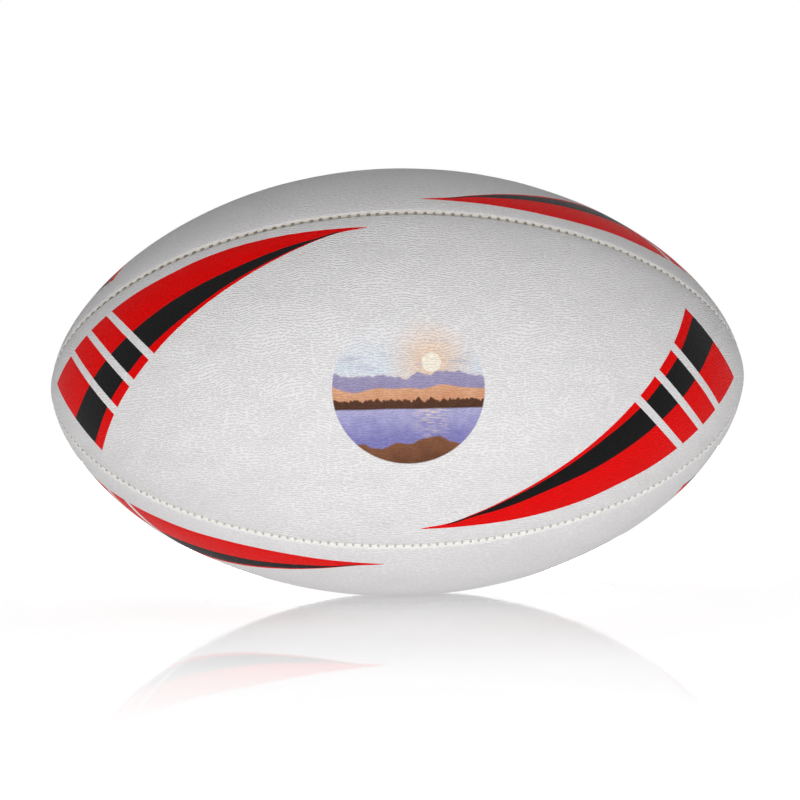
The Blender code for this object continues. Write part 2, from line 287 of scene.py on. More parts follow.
def coverPanel(name, material):
    panel = panels[name]
    halfRows = cover["crownRows"] // 2 + cover["shoulderRows"] + cover["turnInRows"]
    bm = bmesh.new()
    bmesh.ops.create_grid(bm, x_segments=cover["columns"], y_segments=2 * halfRows, size=1)
    # finer along both shoulders, where the stitches bite
    first = (cover["crownRows"] / 2 - 0.5) / halfRows
    last = (cover["crownRows"] / 2 + cover["shoulderRows"] + 0.5) / halfRows
    lengthwise = [edge for edge in bm.edges if edge.verts[0].co.y == edge.verts[1].co.y and
                  first < abs(edge.verts[0].co.y) < last]
    bmesh.ops.subdivide_edges(bm, edges=lengthwise, cuts=cover["seamCuts"], use_grid_fill=True)
    uvMap = bm.loops.layers.uv.new("panelFlat")
    furrow = bm.verts.layers.float.new("furrow")
    grimeAndShade = bm.verts.layers.float.new("grimeAndShade")
    along, turned = panel["print"]
    flat = {}
    for vert in bm.verts:
        arc = vert.co.x * halfArc
        row = vert.co.y * halfRows
        turn, depth, angle = panelPoint(arc, row, panel)
        flat[vert] = (arc / mm + along, outline(turn)[1] * (angle - radians(turned)) / mm)
        vert[furrow] = depth / cover["turnIn"]
        seam = seams[panel["above"] if row > 0 else panel["below"]]
        vert[grimeAndShade] = grimeAndShadeAt(seam, 0.5 + arc / halfArc / 2)
        point = pointAt(turn, depth, angle + radians(panel["turn"]))
        bump = noise.noise(point / cover["waverSize"]) * cover["waver"]
        vert.co = point + bump * point.normalized()
    for face in bm.faces:
        for loop in face.loops:
            loop[uvMap].uv = flat[loop.vert]
    bmesh.ops.recalc_face_normals(bm, faces=bm.faces[:])
    if sum(face.normal.dot(face.calc_center_median()) for face in bm.faces) < 0:
        bmesh.ops.reverse_faces(bm, faces=bm.faces[:])
    bmesh.ops.solidify(bm, geom=bm.faces[:], thickness=cover["thickness"])
    piece = addPiece("cover" + name, bm, material)
    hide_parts("cover_" + name.lower())
    return piece


# the printed swooshes, in flat panel millimetres

# Along is measured from mid-length towards the tip, and up from the panel's middle line. The same shape
# stands upper left and, turned half round, lower right.
swoosh = {
    "reach": 170.0,
    "low": -40.0,
    "high": 80.0,
    "slant": 1.2,  # of the bars across the swoosh
    "outer": [(0, 62.5), (15, 62.6), (30, 61.8), (50, 59.2), (70, 54.1), (90, 46.2), (110, 37.0), (132, 23.8),
              (147, 13.0), (162, 1.3), (170, -6)],
    "inner": [(0, 66), (8.5, 62.6), (20, 60), (30, 55.7), (40, 50.6), (60, 38.8), (80, 24.6), (98, 9.2),
              (108, -0.9), (117, -11.5), (126, -26), (131, -36), (170, -40)],
    "blackTop": [(0, 62), (18, 61.1), (30, 57.2), (40, 54.2), (60, 46), (80, 36.9), (100, 25.4), (110, 18.5),
                 (120, 10.9), (131, 1), (143, -12), (150, -20), (170, -38)],
    "blackFoot": [(0, 70), (18, 61.1), (30, 56.1), (40, 51.2), (60, 40.2), (80, 26.9), (99, 13.1), (110, 3),
                  (120, -7.6), (130, -22.4), (140, -38), (170, -40)],
    # where the slanted bars end and start again, from mid-length outwards
    "bars": [(81.6, 87.4), (103.6, 109.1), (125.7, 131.2), (158.6, 200)],
    "barSpan": 200.0,  # the whole way that they are set out on
}


def between(tree, mask, height, top, bottom):
    # the mask, kept where a height is under one edge and over the other
    for operation, edge in (("LESS_THAN", top), ("GREATER_THAN", bottom)):
        test = addNode(tree, "Math", {0: height, 1: edge}, operation=operation).outputs[0]
        mask = addNode(tree, "Math", {0: mask, 1: test}, operation="MULTIPLY").outputs[0]
    return mask


def swooshMasks(tree, along, up):
    # how much red or black print a point has, from 0 to 1 each
    out = addNode(tree, "Math", {0: along}, operation="ABSOLUTE").outputs[0]
    side = addNode(tree, "Math", {0: along}, operation="SIGN").outputs[0]
    turned = addNode(tree, "Math", {0: side, 1: -1.0}, operation="MULTIPLY").outputs[0]
    upTurned = addNode(tree, "Math", {0: up, 1: turned}, operation="MULTIPLY").outputs[0]
    span = swoosh["high"] - swoosh["low"]
    place = addNode(tree, "Math", {0: out, 1: swoosh["reach"]}, operation="DIVIDE").outputs[0]
    height = addNode(tree, "MapRange", {"Value": upTurned, "From Min": swoosh["low"],
                                        "From Max": swoosh["high"]}).outputs[0]
    edges = {}
    for name in ("outer", "inner", "blackTop", "blackFoot"):
        node = addNode(tree, "FloatCurve", {"Value": place})
        curve = node.mapping.curves[0]
        points = [(a / swoosh["reach"], (b - swoosh["low"]) / span) for a, b in swoosh[name]]
        curve.points[0].location, curve.points[1].location = points[0], points[-1]
        for point in points[1:-1]:
            curve.points.new(*point)
        node.mapping.update()
        edges[name] = node.outputs[0]
    # slanted bars: constant steps of a ramp along the slanted measure
    slanted = addNode(tree, "Math", {0: upTurned, 1: -swoosh["slant"], 2: out},
                      operation="MULTIPLY_ADD").outputs[0]
    scaled = addNode(tree, "Math", {0: slanted, 1: swoosh["barSpan"]}, operation="DIVIDE").outputs[0]
    bars = addNode(tree, "ValToRGB", {"Fac": scaled})
    stops = [(0, "#FFFFFF")]
    for start, end in swoosh["bars"]:
        stops += [(start / swoosh["barSpan"], "#000000"), (end / swoosh["barSpan"], "#FFFFFF")]
    setStops(bars.color_ramp, stops[:-1], "CONSTANT")  # past the last bar's start nothing is printed
    printed = between(tree, bars.outputs[0], height, edges["outer"], edges["inner"])
    return printed, between(tree, printed, height, edges["blackTop"], edges["blackFoot"])


# materials

leather = {
    "white": "#EDEBEC",
    "red": "#EC0202",
    "black": "#0B0B0C",
    "tint": "#EBE9E9",  # where hands have dulled the white
    "tintScale": 0.03,  # patches about 33 mm wide
    "tintStops": (0.3, 0.7),
    # Depths are shares of the cover's turned-in depth: where a colour starts, and where it is full
    "lip": ("#F2F1EE", "#D3CDC4"),  # where the cover folds into a seam: a painted highlight, lighter than the white, and a colour darker for grime and painted shade
    "lipDepth": (0.07, 0.16),
    "furrowShadeAndDirt": "#3A3227",  # painted shade between the stitches, down in the furrow, with dirt where the seam's grime is high
    "furrowShadeDepth": (0.19, 0.40),
    "roughness": 0.5,
    "roughnessRange": (0.44, 0.58),  # over the wrinkles
    "shine": 0.10,
    "pebble": (1.5, 0.94),  # mm along the ball and across it, a fifth coarser than the real ones, to show
    "pebbleHeight": 0.00014,
    "pebbleTop": 0.75,  # how far up a crease's side a pebble is at its full height
    "wrinkleScale": 0.9,  # of the fine wrinkles, to a pebble
    "wrinkleHeight": 0.6,  # to a pebble's own
    "wander": 9.0,  # mm: how far the rows of pebbles stray
    "wanderScale": 0.055,  # bends about 18 mm long
    "raggedness": 4.5,  # of a row's own line
    "breaks": (0.44, 0.72),  # where the creases between the rows are bridged
    "creaseShade": 0.86,
}

# A round print in the middle of the front panel: hills over a lake. Places and sizes in it are shares of its
# radius, and ridges come from the far one to the near one, with the lake among them.
picture = {
    "centre": (5.0, -4.9),  # flat panel millimetres
    "radius": 28.4,
    "rim": 0.985,  # where its edge starts to fade
    "sky": [(0.42, "#F2D8C4"), (0.62, "#DCE4EE"), (0.85, "#ECEBED"), (1.0, "#EDEBEC")],
    "sun": (0.30, 0.34, 0.12, "#FFF6E4"),  # across, up, radius, colour
    "sunRim": 1.1,  # times the sun's radius: where it has faded out
    "glow": (0.7, 0.75, "#F6CDA4"),  # radius, strength, colour
    # each a stretched noise: shown is where it starts to show, and where it shows in full
    "cloud": {"stretch": (2.2, 9.0, 1), "shown": (0.54, 0.68), "heights": (0.75, 0.45), "strength": 0.7,
              "colour": "#C3BFD2"},
    "glint": {"stretch": (7.0, 42.0, 1), "shown": (0.50, 0.56), "aside": (0.30, 0.02), "strength": (0.1, 0.9),
              "colour": "#F3DCC8"},
    "lake": (-0.66, -0.24),  # from its near bank to its far one
    "mottle": 6.0,  # patches of light and dark to a radius
    "ridgeEdge": 0.02,
    "shading": (2.2, -0.4),  # how fast a ridge darkens below its top, and from what
    "ridges": [
        {"height": 0.20, "relief": 0.42, "bumps": 0.55, "rough": 3, "seed": 2.0,
         "colours": ("#A79FC0", "#8D84AC")},
        {"height": 0.02, "relief": 0.34, "bumps": 0.80, "rough": 1, "seed": 7.3,
         "colours": ("#E2AC88", "#C98560")},
        {"height": -0.13, "relief": 0.14, "bumps": 0.09, "rough": 4, "seed": 1.1,
         "colours": ("#5B3A2A", "#3E261B")},
        {"height": -0.25, "relief": 0.02, "bumps": 0.50, "rough": 0, "seed": 4.0,
         "colours": ("#B7B4DB", "#8481BC")},
        {"height": -0.70, "relief": 0.30, "bumps": 0.70, "rough": 3, "seed": 9.2,
         "colours": ("#8A5B41", "#603C2A")},
    ],
}


def lakeGlints(tree, centred, x, y, colour):
    # short bright dashes on the water, under the sun
    glint = picture["glint"]
    stretched = addNode(tree, "Mapping", {"Vector": centred, "Scale": glint["stretch"]}).outputs[0]
    dashes = addNode(tree, "TexNoise", {"Vector": stretched, "Scale": 1.0, "Detail": 1.0}).outputs[0]
    start, full = glint["shown"]
    shown = addNode(tree, "MapRange", {"Value": dashes, "From Min": start, "From Max": full}).outputs[0]
    aside = addNode(tree, "Math", {0: x, 1: picture["sun"][0]}, operation="SUBTRACT").outputs[0]
    aside = addNode(tree, "Math", {0: aside}, operation="ABSOLUTE").outputs[0]
    outer, inner = glint["aside"]
    under = addNode(tree, "MapRange", {"Value": aside, "From Min": outer, "From Max": inner}).outputs[0]
    near, far = picture["lake"]
    faint, strong = glint["strength"]
    fade = addNode(tree, "MapRange", {"Value": y, "From Min": near, "From Max": far, "To Min": faint,
                                      "To Max": strong}).outputs[0]
    for mask in (under, fade):
        shown = addNode(tree, "Math", {0: shown, 1: mask}, operation="MULTIPLY").outputs[0]
    return addNode(tree, "Mix", {0: shown, 6: colour, 7: glint["colour"]}, data_type="RGBA").outputs[2]


def roundPrint(tree, flat, base):
    # the picture over the base colour, inside its circle
    scale = 1 / picture["radius"]
    across, up = picture["centre"]
    centred = addNode(tree, "Mapping", {"Vector": flat, "Location": (-across * scale, -up * scale, 0),
                                        "Scale": (scale, scale, 1)}).outputs[0]
    split = addNode(tree, "SeparateXYZ", {0: centred})
    x, y = split.outputs["X"], split.outputs["Y"]
    height = addNode(tree, "MapRange", {"Value": y, "From Min": -1.0, "From Max": 1.0}).outputs[0]
    sky = addNode(tree, "ValToRGB", {"Fac": height})
    setStops(sky.color_ramp, picture["sky"])
    sunX, sunY, sunRadius, sunColour = picture["sun"]
    sunWay = addNode(tree, "VectorMath", {0: centred, 1: (sunX, sunY, 0)},
                     operation="DISTANCE").outputs["Value"]
    sun = addNode(tree, "MapRange", {"Value": sunWay, "From Min": sunRadius * picture["sunRim"],
                                     "From Max": sunRadius}).outputs[0]
    glowRadius, glowStrength, glowColour = picture["glow"]
    glow = addNode(tree, "MapRange", {"Value": sunWay, "From Min": glowRadius, "From Max": 0.0,
                                      "To Max": glowStrength}, interpolation_type="SMOOTHSTEP").outputs[0]
    colour = addNode(tree, "Mix", {0: glow, 6: sky.outputs[0], 7: glowColour}, data_type="RGBA").outputs[2]
    clouds = picture["cloud"]
    streaks = addNode(tree, "Mapping", {"Vector": centred, "Scale": clouds["stretch"]}).outputs[0]
    puffs = addNode(tree, "TexNoise", {"Vector": streaks, "Scale": 1.0, "Detail": 4.0}).outputs[0]
    start, full = clouds["shown"]
    cloud = addNode(tree, "MapRange", {"Value": puffs, "From Min": start, "From Max": full,
                                       "To Max": clouds["strength"]}).outputs[0]
    high, low = clouds["heights"]
    lower = addNode(tree, "MapRange", {"Value": y, "From Min": high, "From Max": low}).outputs[0]
    cloud = addNode(tree, "Math", {0: cloud, 1: lower}, operation="MULTIPLY").outputs[0]
    colour = addNode(tree, "Mix", {0: sun, 6: colour, 7: sunColour}, data_type="RGBA").outputs[2]
    colour = addNode(tree, "Mix", {0: cloud, 6: colour, 7: clouds["colour"]}, data_type="RGBA").outputs[2]
    mottle = addNode(tree, "TexNoise", {"Vector": centred, "Scale": picture["mottle"],
                                        "Detail": 5.0}).outputs[0]
    steepness, offset = picture["shading"]
    for ridge in picture["ridges"]:
        shifted = addNode(tree, "Math", {0: x, 1: ridge["seed"]}, operation="ADD").outputs[0]
        line = addNode(tree, "TexNoise", {"W": shifted, "Scale": 1 / ridge["bumps"],
                                          "Detail": ridge["rough"]}, noise_dimensions="1D").outputs[0]
        level = ridge["height"] - ridge["relief"] / 2
        top = addNode(tree, "Math", {0: line, 1: ridge["relief"], 2: level},
                      operation="MULTIPLY_ADD").outputs[0]
        below = addNode(tree, "Math", {0: top, 1: y}, operation="SUBTRACT").outputs[0]
        mask = addNode(tree, "MapRange", {"Value": below, "From Min": 0.0,
                                          "From Max": picture["ridgeEdge"]}).outputs[0]
        shade = addNode(tree, "Math", {0: below, 1: steepness, 2: offset},
                        operation="MULTIPLY_ADD").outputs[0]
        mixed = addNode(tree, "Math", {0: shade, 1: mottle}, operation="ADD", use_clamp=True).outputs[0]
        light, dark = ridge["colours"]
        paint = addNode(tree, "Mix", {0: mixed, 6: light, 7: dark}, data_type="RGBA").outputs[2]
        if ridge["rough"] == 0:  # the lake, which alone is smooth
            paint = lakeGlints(tree, centred, x, y, paint)
        colour = addNode(tree, "Mix", {0: mask, 6: colour, 7: paint}, data_type="RGBA").outputs[2]
    way = addNode(tree, "VectorMath", {0: centred}, operation="LENGTH").outputs["Value"]
    inside = addNode(tree, "MapRange", {"Value": way, "From Min": 1.0, "From Max": picture["rim"]}).outputs[0]
    return addNode(tree, "Mix", {0: inside, 6: base, 7: colour}, data_type="RGBA").outputs[2]


def coverLeather(name, withPicture):
    # PU synthetic leather, embossed with a fine pebble and screen-printed: white with a soft sheen that the
    # pebbles break up, and ink that lies in them without hiding them
    material, tree, shader = newMaterial(name, leather["roughness"], IOR=1.46,
                                         Specular_IOR_Level=leather["shine"])
    flat = addNode(tree, "UVMap", uv_map="panelFlat").outputs["UV"]
    split = addNode(tree, "SeparateXYZ", {0: flat})
    red, black = swooshMasks(tree, split.outputs["X"], split.outputs["Y"])

    # slow tint, as of a cover that has been handled
    tint = addNode(tree, "TexNoise", {"Vector": flat, "Scale": leather["tintScale"],
                                      "Detail": 4.0}).outputs[0]
    tintRamp = addNode(tree, "ValToRGB", {"Fac": tint})
    low, high = leather["tintStops"]
    setStops(tintRamp.color_ramp, [(low, leather["tint"]), (high, leather["white"])])
    colour = tintRamp.outputs[0]
    if withPicture:
        colour = roundPrint(tree, flat, colour)
    colour = addNode(tree, "Mix", {0: red, 6: colour, 7: leather["red"]}, data_type="RGBA").outputs[2]
    colour = addNode(tree, "Mix", {0: black, 6: colour, 7: leather["black"]}, data_type="RGBA").outputs[2]

    # fine creases in rows along the ball, which wander as in skin, broken into pebbles
    sway = addNode(tree, "TexNoise", {"Vector": flat, "Scale": leather["wanderScale"],
                                      "Detail": 1.0}).outputs["Color"]
    swayed = addNode(tree, "VectorMath", {0: sway, 1: (leather["wander"],) * 2 + (0,), 2: flat},
                     operation="MULTIPLY_ADD").outputs[0]
    long, wide = leather["pebble"]
    rows = addNode(tree, "TexWave", {"Vector": swayed, "Scale": waveBand / wide,
                                     "Distortion": leather["raggedness"], "Detail": 1.0,
                                     "Detail Scale": 2.0}, bands_direction="Y").outputs["Fac"]
    cellPlace = addNode(tree, "Mapping", {"Vector": swayed, "Scale": (1 / long, 1 / wide, 1)}).outputs[0]
    breaks = addNode(tree, "TexNoise", {"Vector": cellPlace, "Scale": 1.0, "Detail": 1.0}).outputs[0]
    few, many = leather["breaks"]
    broken = addNode(tree, "MapRange", {"Value": breaks, "From Min": few, "From Max": many}).outputs[0]
    domes = addNode(tree, "Math", {0: rows, 1: broken}, operation="MAXIMUM").outputs[0]
    domes = addNode(tree, "MapRange", {"Value": domes, "From Min": 0.0, "From Max": leather["pebbleTop"]},
                    interpolation_type="SMOOTHSTEP").outputs[0]
    wrinkle = addNode(tree, "TexNoise", {"Vector": cellPlace, "Scale": leather["wrinkleScale"], "Detail": 5.0,
                                         "Roughness": 0.6}).outputs[0]
    relief = addNode(tree, "Math", {0: wrinkle, 1: leather["wrinkleHeight"], 2: domes},
                     operation="MULTIPLY_ADD").outputs[0]
    bump = addNode(tree, "Bump", {"Height": relief, "Distance": leather["pebbleHeight"], "Strength": 1.0})

    # painted shade: the creases are painted a little darker, and the furrow between two panels darker still,
    # with dirt
    crease = addNode(tree, "MapRange", {"Value": domes, "To Min": leather["creaseShade"]}).outputs[0]
    colour = addNode(tree, "Mix", {0: 1.0, 6: colour, 7: crease},
                     data_type="RGBA", blend_type="MULTIPLY").outputs[2]
    furrow = addNode(tree, "Attribute", attribute_name="furrow").outputs["Fac"]
    grimeAndShade = addNode(tree, "Attribute", attribute_name="grimeAndShade").outputs["Fac"]
    # painted highlight: the fold into a seam is painted lighter than the white, and darker and warmer where
    # grime and painted shade are high
    clean, handledAndShaded = leather["lip"]
    fold = addNode(tree, "Mix", {0: grimeAndShade, 6: clean, 7: handledAndShaded}, data_type="RGBA").outputs[2]
    start, full = leather["lipDepth"]
    lip = addNode(tree, "MapRange", {"Value": furrow, "From Min": start, "From Max": full}).outputs[0]
    colour = addNode(tree, "Mix", {0: lip, 6: colour, 7: fold}, data_type="RGBA").outputs[2]
    # painted shade: the deeper in the furrow, the darker, scaled by the seam's grime and shade value
    start, full = leather["furrowShadeDepth"]
    deep = addNode(tree, "MapRange", {"Value": furrow, "From Min": start, "From Max": full}).outputs[0]
    deep = addNode(tree, "Math", {0: deep, 1: grimeAndShade}, operation="MULTIPLY").outputs[0]
    colour = addNode(tree, "Mix", {0: deep, 6: colour, 7: leather["furrowShadeAndDirt"]}, data_type="RGBA").outputs[2]
    smooth, dull = leather["roughnessRange"]
    shine = addNode(tree, "MapRange", {"Value": wrinkle, "From Min": 0.3, "From Max": 0.7, "To Min": smooth,
                                       "To Max": dull}).outputs[0]
    tree.links.new(colour, shader.inputs["Base Color"])
    tree.links.new(shine, shader.inputs["Roughness"])
    tree.links.new(bump.outputs[0], shader.inputs["Normal"])
    return material


yarn = {
    "roughness": 0.5,
    "twistScale": 1.4,  # a ridge of the twist every 0.22 mm
    "raggedness": 0.6,
    # painted shade: each pair is darker between the ridges, and the waxed pair also stands for the top seam's
    # shade
    "clean": ("#B4AFA6", "#DCD8D0"),  # between the ridges, and on them
    "waxedAndShaded": ("#5C5138", "#8F8264"),
    "ridge": 0.6,  # how far up a ridge its colour is full
    "ridgeHeight": 0.00006,
}


def waxedThread():
    # polyester thread, twisted and waxed: olive-grey from the wax, with a dull shine and a fine twist like
    # a rope's; painted shade darkens it between the twist's ridges, and where its seam's grime and shade
    # value is high
    material, tree, shader = newMaterial("waxedPolyesterThread", yarn["roughness"], IOR=1.5)
    place = addNode(tree, "UVMap", uv_map="strand").outputs["UV"]
    twist = addNode(tree, "TexWave", {"Vector": place, "Scale": yarn["twistScale"],
                                      "Distortion": yarn["raggedness"], "Detail": 1.0},
                    bands_direction="DIAGONAL").outputs["Fac"]
    waxAndShade = addNode(tree, "Attribute", attribute_name="waxAndShade").outputs["Fac"]
    shades = []
    for low, high in (yarn["clean"], yarn["waxedAndShaded"]):
        ramp = addNode(tree, "ValToRGB", {"Fac": twist})
        setStops(ramp.color_ramp, [(0.0, low), (yarn["ridge"], high)])
        shades.append(ramp.outputs[0])
    colour = addNode(tree, "Mix", {0: waxAndShade, 6: shades[0], 7: shades[1]}, data_type="RGBA").outputs[2]
    bump = addNode(tree, "Bump", {"Height": twist, "Distance": yarn["ridgeHeight"], "Strength": 0.8})
    tree.links.new(colour, shader.inputs["Base Color"])
    tree.links.new(bump.outputs[0], shader.inputs["Normal"])
    return material


cloth = {
    "roughness": 0.85,
    "raggedness": 0.4,
    "slubScale": 260.0,  # thick places in the yarn, about 4 mm long
    "stops": (0.25, 0.9),  # of the weave's height: dark, and light
    "threadHeight": 0.3,  # of a thread's width
}


def wovenCloth(name, light, dark, threadWidth):
    # poly-cotton cloth, plain-woven and rubber-coated: matt, with crossing threads
    material, tree, shader = newMaterial(name, cloth["roughness"])
    place = addNode(tree, "TexCoord").outputs["Object"]
    waves = []
    for direction in ("X", "Z"):
        wave = addNode(tree, "TexWave", {"Vector": place, "Scale": waveBand / threadWidth,
                                         "Distortion": cloth["raggedness"]}, bands_direction=direction)
        waves.append(wave.outputs["Fac"])
    weave = addNode(tree, "Math", {0: waves[0], 1: waves[1]}, operation="MULTIPLY").outputs[0]
    slub = addNode(tree, "TexNoise", {"Vector": place, "Scale": cloth["slubScale"], "Detail": 3.0}).outputs[0]
    relief = addNode(tree, "Math", {0: weave, 1: slub}, operation="ADD").outputs[0]
    # painted shade: where the weave and its slubs lie low, the cloth is painted darker
    ramp = addNode(tree, "ValToRGB", {"Fac": relief})
    low, high = cloth["stops"]
    setStops(ramp.color_ramp, [(low, dark), (high, light)])
    bump = addNode(tree, "Bump", {"Height": relief, "Distance": threadWidth * cloth["threadHeight"],
                                  "Strength": 0.7})
    tree.links.new(ramp.outputs[0], shader.inputs["Base Color"])
    tree.links.new(bump.outputs[0], shader.inputs["Normal"])
    return material


rubber = {
    "patchScale": 60.0,  # patches of bloom about 17 mm wide
    "patchStops": (0.45, 0.75),  # where bloom starts, and where it is full
    "grainHeight": 0.12,  # of a grain's width
    "dulling": (-0.08, 0.15),  # what bare rubber and bloom add to the roughness
}


def mouldedRubber(name, dark, bloom, roughness, grain):
    # butyl rubber out of a sand-blasted mould: near black, dull, with a grey bloom of talc in patches
    material, tree, shader = newMaterial(name, roughness, IOR=1.52)
    place = addNode(tree, "TexCoord").outputs["Object"]
    patches = addNode(tree, "TexNoise", {"Vector": place, "Scale": rubber["patchScale"],
                                         "Detail": 4.0}).outputs[0]
    ramp = addNode(tree, "ValToRGB", {"Fac": patches})
    start, full = rubber["patchStops"]
    setStops(ramp.color_ramp, [(start, dark), (full, bloom)])
    sand = addNode(tree, "TexNoise", {"Vector": place, "Scale": 1 / grain, "Detail": 2.0}).outputs[0]
    bump = addNode(tree, "Bump", {"Height": sand, "Distance": grain * rubber["grainHeight"], "Strength": 0.6})
    bare, bloomed = rubber["dulling"]
    dull = addNode(tree, "MapRange", {"Value": patches, "To Min": roughness + bare,
                                      "To Max": roughness + bloomed}).outputs[0]
    tree.links.new(ramp.outputs[0], shader.inputs["Base Color"])
    tree.links.new(dull, shader.inputs["Roughness"])
    tree.links.new(bump.outputs[0], shader.inputs["Normal"])
    return material


# stitches

stitch = {
    "radius": 0.00015,  # of one strand
    "reach": 0.00075,  # from the seam to the needle hole
    "depth": 0.00060,  # of the strand's middle, below the outline
    "sink": 0.0013,  # how deep its ends go
    "pinch": 0.00013,  # half the way between the two strands, at the seam
    "spread": 0.00005,  # and how much further apart they lie at the holes
    "lastRadius": 0.004,  # of the ball, where the stitching ends
    "tipSize": 0.35,  # of a full stitch's size, on the ball's axis
    "tipGrowth": 0.03,  # how far out from the axis it would be a whole size larger
    "sides": 5,
    "rings": 7,
}


def strandMesh(side):
    # one strand over the seam: x along the seam, y across it, z outwards
    bm = bmesh.new()
    uvMap = bm.loops.layers.uv.new("strand")
    ring = bmesh.ops.create_circle(bm, segments=stitch["sides"], radius=stitch["radius"],
                                   cap_ends=True)["verts"]
    bmesh.ops.rotate(bm, verts=ring, cent=(0, 0, 0), matrix=Matrix.Rotation(radians(90), 3, "X"))
    rings = [ring]
    edges = bm.edges[:]
    for i in range(stitch["rings"] - 1):
        made = bmesh.ops.extrude_edge_only(bm, edges=edges)["geom"]
        rings.append([item for item in made if isinstance(item, bmesh.types.BMVert)])
        edges = [item for item in made if isinstance(item, bmesh.types.BMEdge) and
                 all(vert in rings[-1] for vert in item.verts)]
    bmesh.ops.holes_fill(bm, edges=edges, sides=0)
    for i, verts in enumerate(rings):
        share = -1 + 2 * i / (stitch["rings"] - 1)
        across = share * stitch["reach"]
        along = side * (stitch["pinch"] + stitch["spread"] * share ** 2)
        out = -stitch["depth"] - (stitch["sink"] - stitch["depth"]) * share ** 6
        bmesh.ops.translate(bm, verts=verts, vec=(along, across, out))
    bmesh.ops.recalc_face_normals(bm, faces=bm.faces[:])
    for face in bm.faces:
        for loop in face.loops:
            loop[uvMap].uv = (loop.vert.co.x / mm, loop.vert.co.y / mm)
    mesh = bpy.data.meshes.new("strand")
    bm.to_mesh(mesh)
    bm.free()
    return mesh


def seamStitches(name, material):
    seam = seams[name]
    strands = [strandMesh(-1), strandMesh(1)]
    bm = bmesh.new()
    waxAndShade = bm.verts.layers.float.new("waxAndShade")
    angle = radians(seam["angle"])
    for arc, bite, grimeAndShade in seam["places"]:
        turn = turnAt(arc)
        radius, normalAlong, normalAway = outline(turn)[1:]
        if radius < stitch["lastRadius"]:
            continue
        out = Vector((normalAlong, -normalAway * cos(angle), normalAway * sin(angle)))
        around = Vector((0, sin(angle), cos(angle)))
        along = around.cross(out)
        frameAt = Matrix((along, around, out)).transposed().to_4x4()
        frameAt.translation = pointAt(turn, 0, angle)
        size = min(1, stitch["tipSize"] + radius / stitch["tipGrowth"])  # the last few are short
        for strand in strands:
            before = len(bm.verts)
            bm.from_mesh(strand)
            bm.verts.ensure_lookup_table()
            fresh = bm.verts[before:]
            stretch = Matrix.Diagonal((bite * size, size / sqrt(bite), size, 1))  # what is wide is short
            bmesh.ops.transform(bm, matrix=frameAt @ stretch, verts=fresh)
            for vert in fresh:
                vert[waxAndShade] = grimeAndShade
    piece = addPiece("stitches" + name, bm, material)
    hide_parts("seam_thread_" + seam["node"])
    return piece


# valve

# Outlines are (radius, height) in millimetres, with the ball's surface at height 0
valve = {
    "fromSeam": 0.022,  # below the seam at the top of the back panel
    "holeRadius": 0.0048,
    "holeRound": 0.0006,
    "holeSteps": 6,  # round its rounded edge
    "cutter": (3, -8, 0.001),  # top, foot and inner radius of what cuts the hole, in millimetres
    "steps": 56,
    "rounding": 0.00012,  # of the moulded edges
    "sharp": 50,  # degrees from which an edge is rounded
    # name, colour, bloom, roughness and grain
    "bootFinish": ("mouldedButylBoot", "#161617", "#3A3938", 0.6, 0.0003),
    "plugFinish": ("mouldedSoftPlug", "#242426", "#4C4B4A", 0.5, 0.0003),
    # funnel, domed head, shank with its two barbs, needle hole
    "plug": [(0.6, -1.7), (1.05, -0.85), (1.35, -0.58), (1.8, -0.47), (2.4, -0.48), (2.8, -0.60),
             (3.0, -0.85), (3.0, -2.5), (2.2, -2.5), (2.2, -4.75), (2.6, -4.75), (2.2, -6.75),
             (2.2, -9.25), (2.6, -9.25), (2.2, -11.25), (2.2, -16.5), (0.6, -16.5)],
    # neck, flange, tube, floor with the needle's hole, then the bore back up
    "boot": [(4.5, -0.5), (4.5, -6.125), (9.0, -6.125), (9.0, -7.525), (4.1, -7.525), (4.1, -18.4),
             (0.6, -18.4), (0.6, -16.8), (2.5, -16.8), (2.5, -11.55), (2.9, -8.95), (2.5, -8.95),
             (2.5, -7.05), (2.9, -4.45), (2.5, -4.45), (2.5, -2.8), (3.3, -2.8), (3.3, -0.5)],
}


def valveFrame():
    # x and y across the valve, z out of the ball
    angle = radians(180) - (pi / 4 - asin(valve["fromSeam"] / (ball["diameter"] / 2)))
    out = Vector((0, -cos(angle), sin(angle)))
    along = Vector((1, 0, 0))
    place = Matrix((along, out.cross(along), out)).transposed().to_4x4()
    place.translation = out * ball["diameter"] / 2
    return place


def spunOutline(profile, steps, rounding=0):
    # a closed outline, spun round the valve's axis
    bm = bmesh.new()
    points = [bm.verts.new((radius * mm, 0, height * mm)) for radius, height in profile]
    edges = [bm.edges.new(pair) for pair in zip(points, points[1:] + points[:1])]
    bmesh.ops.spin(bm, geom=points + edges, cent=(0, 0, 0), axis=(0, 0, 1), angle=2 * pi, steps=steps,
                   use_merge=True)
    bmesh.ops.remove_doubles(bm, verts=bm.verts[:], dist=1e-6)
    bmesh.ops.recalc_face_normals(bm, faces=bm.faces[:])
    if rounding:
        sharp = [edge for edge in bm.edges if edge.calc_face_angle(0) > radians(valve["sharp"])]
        bmesh.ops.bevel(bm, geom=sharp, offset=rounding, affect="EDGES", segments=3, profile=0.5, material=-1,
                        clamp_overlap=True)
    bmesh.ops.transform(bm, matrix=valveFrame(), verts=bm.verts[:])
    return bm


